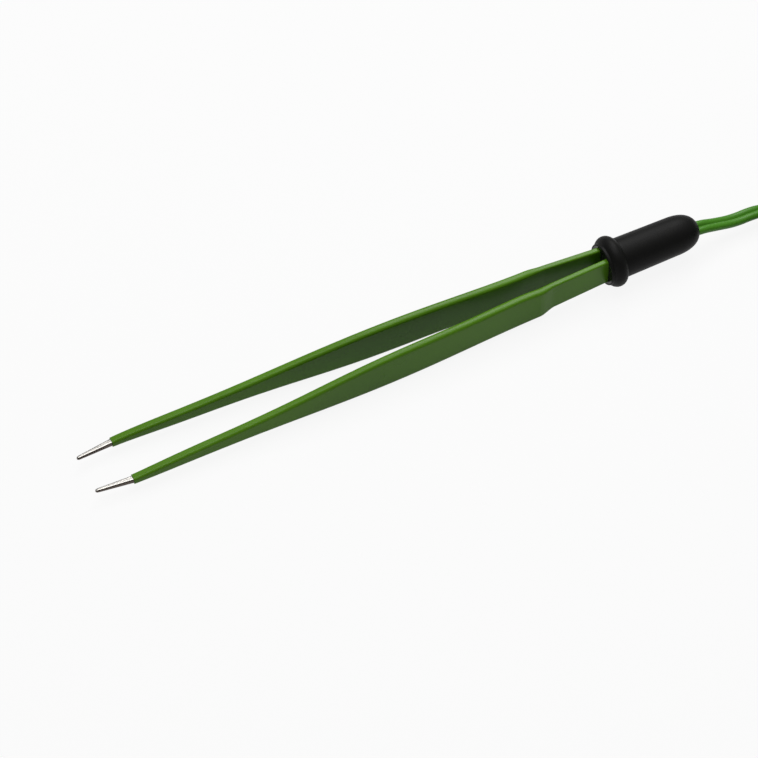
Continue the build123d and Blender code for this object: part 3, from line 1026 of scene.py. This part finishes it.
@dataclass
class Studio:
    """Pale floor, soft lamps and the camera at the photograph's angle."""

    rest: Rest = field(default_factory=Rest)
    azimuth: float = math.radians(-26.568)
    elevation: float = math.radians(51.204)
    roll: float = math.radians(-0.907)
    distance: float = 0.800
    focal_px: float = 3046.4
    aim_px: Pair = (437.22, 332.48)
    aim_station: float = 100.74
    aim_up: float = -0.25
    picture_px: float = 758.0
    sensor_mm: float = 36.0
    clip: Pair = (0.01, 20.0)
    world_level: float = 0.22
    floor_half: float = 3.0
    floor_colour: Colour = (0.62, 0.62, 0.62)
    floor_roughness: float = 0.9
    floor_white: float = 0.90
    lamps: tuple[SoftBox, ...] = (
        SoftBox("overhead_box", place=(0.05, 0.15, 0.85), size=(0.9, 0.6), radiance=3.6),
        SoftBox("back_box", place=(0.42, 0.55, 0.72), size=(0.45, 0.25), radiance=11.0),
    )

    def camera(self) -> None:
        """Places the camera from the fit to the forceps' outline."""
        ca, sa = math.cos(self.azimuth), math.sin(self.azimuth)
        ce, se = math.cos(self.elevation), math.sin(self.elevation)
        right = Vector((ca, sa, 0.0))
        up = Vector((-sa * se, ca * se, ce))
        back = Vector((sa * ce, -ca * ce, se))
        cr, sr = math.cos(self.roll), math.sin(self.roll)
        axes = [self.rest.turn(v) for v in (right * cr + up * sr, up * cr - right * sr, back)]
        across, down = (
            (px - self.picture_px / 2) / self.focal_px * self.distance for px in self.aim_px
        )
        aim = self.rest.place(self.aim_station, 0.0, self.aim_up)
        place = aim - axes[0] * across + axes[1] * down + axes[2] * self.distance
        data = bpy.data.cameras.new("camera")
        data.sensor_width = self.sensor_mm
        data.lens = self.focal_px / self.picture_px * self.sensor_mm
        data.clip_start, data.clip_end = self.clip
        viewer = bpy.data.objects.new("camera", data)
        viewer.matrix_world = Matrix.Translation(place) @ Matrix(axes).transposed().to_4x4()
        bpy.context.scene.collection.objects.link(viewer)
        bpy.context.scene.camera = viewer

    def seen(self, graph: Graph) -> Socket:
        """Tells the rays that look at the background from those that light the object.

        Args:
            graph: the background's material.

        Returns:
            A value of 1 for a ray that looks at the background.
        """
        light_path = graph.node("ShaderNodeLightPath")
        total = light_path.outputs["Is Camera Ray"]
        for name in ("Is Glossy Ray", "Is Transmission Ray"):
            node = graph.node("ShaderNodeMath")
            node.operation = "MAXIMUM"
            graph.join(total, node.inputs[0])
            graph.join(light_path.outputs[name], node.inputs[1])
            total = node.outputs[0]
        return total

    def floor(self) -> None:
        """Lays a pale floor that looks white and keeps the shadow."""
        graph = Graph("pale_floor")
        graph.constants(
            base_color=self.floor_colour, roughness=self.floor_roughness, specular_ior_level=0.0
        )
        glow = graph.node("ShaderNodeEmission")
        mix = graph.node("ShaderNodeMixShader")
        white = graph.remap(self.seen(graph), (0.0, 1.0), (0.0, self.floor_white))
        graph.join(white, mix.inputs[0])
        graph.join(graph.shader.outputs["BSDF"], mix.inputs[1])
        graph.join(glow.outputs["Emission"], mix.inputs[2])
        graph.join(mix.outputs["Shader"], graph.output.inputs["Surface"])
        mesh = bpy.data.meshes.new("floor")
        corners = [(self.floor_half * x, self.floor_half * y, 0.0) for x, y in CORNERS]
        mesh.from_pydata(corners, [], [(0, 1, 2, 3)])
        mesh.materials.append(graph.material)
        floor = bpy.data.objects.new("floor", mesh)
        bpy.context.scene.collection.objects.link(floor)

    def world(self) -> None:
        """Lights the surroundings evenly, and shows them white."""
        world = bpy.data.worlds.new("pale_room")
        world.use_nodes = True
        bpy.context.scene.world = world
        tree = world.node_tree
        tree.nodes.clear()
        output = tree.nodes.new("ShaderNodeOutputWorld")
        backdrop = tree.nodes.new("ShaderNodeBackground")
        light_path = tree.nodes.new("ShaderNodeLightPath")
        level = tree.nodes.new("ShaderNodeMapRange")
        level.inputs["To Min"].default_value = self.world_level
        level.inputs["To Max"].default_value = 1.0
        tree.links.new(light_path.outputs["Is Camera Ray"], level.inputs["Value"])
        tree.links.new(level.outputs["Result"], backdrop.inputs["Strength"])
        tree.links.new(backdrop.outputs["Background"], output.inputs["Surface"])

    def build(self) -> None:
        """Sets the whole stage."""
        self.camera()
        self.floor()
        self.world()
        for lamp in self.lamps:
            lamp.hang()
        bpy.context.scene.view_settings.view_transform = "Standard"
        LOG.info("camera and %d soft boxes are in place", len(self.lamps))


def main() -> None:
    """Sets the stage, then builds the forceps in order."""
    logging.basicConfig(level=logging.INFO, format="%(name)s: %(message)s")
    for assembly in (Studio(), Cord(), Arms(), Cap()):
        assembly.build()


if __name__ == "__main__":
    main()
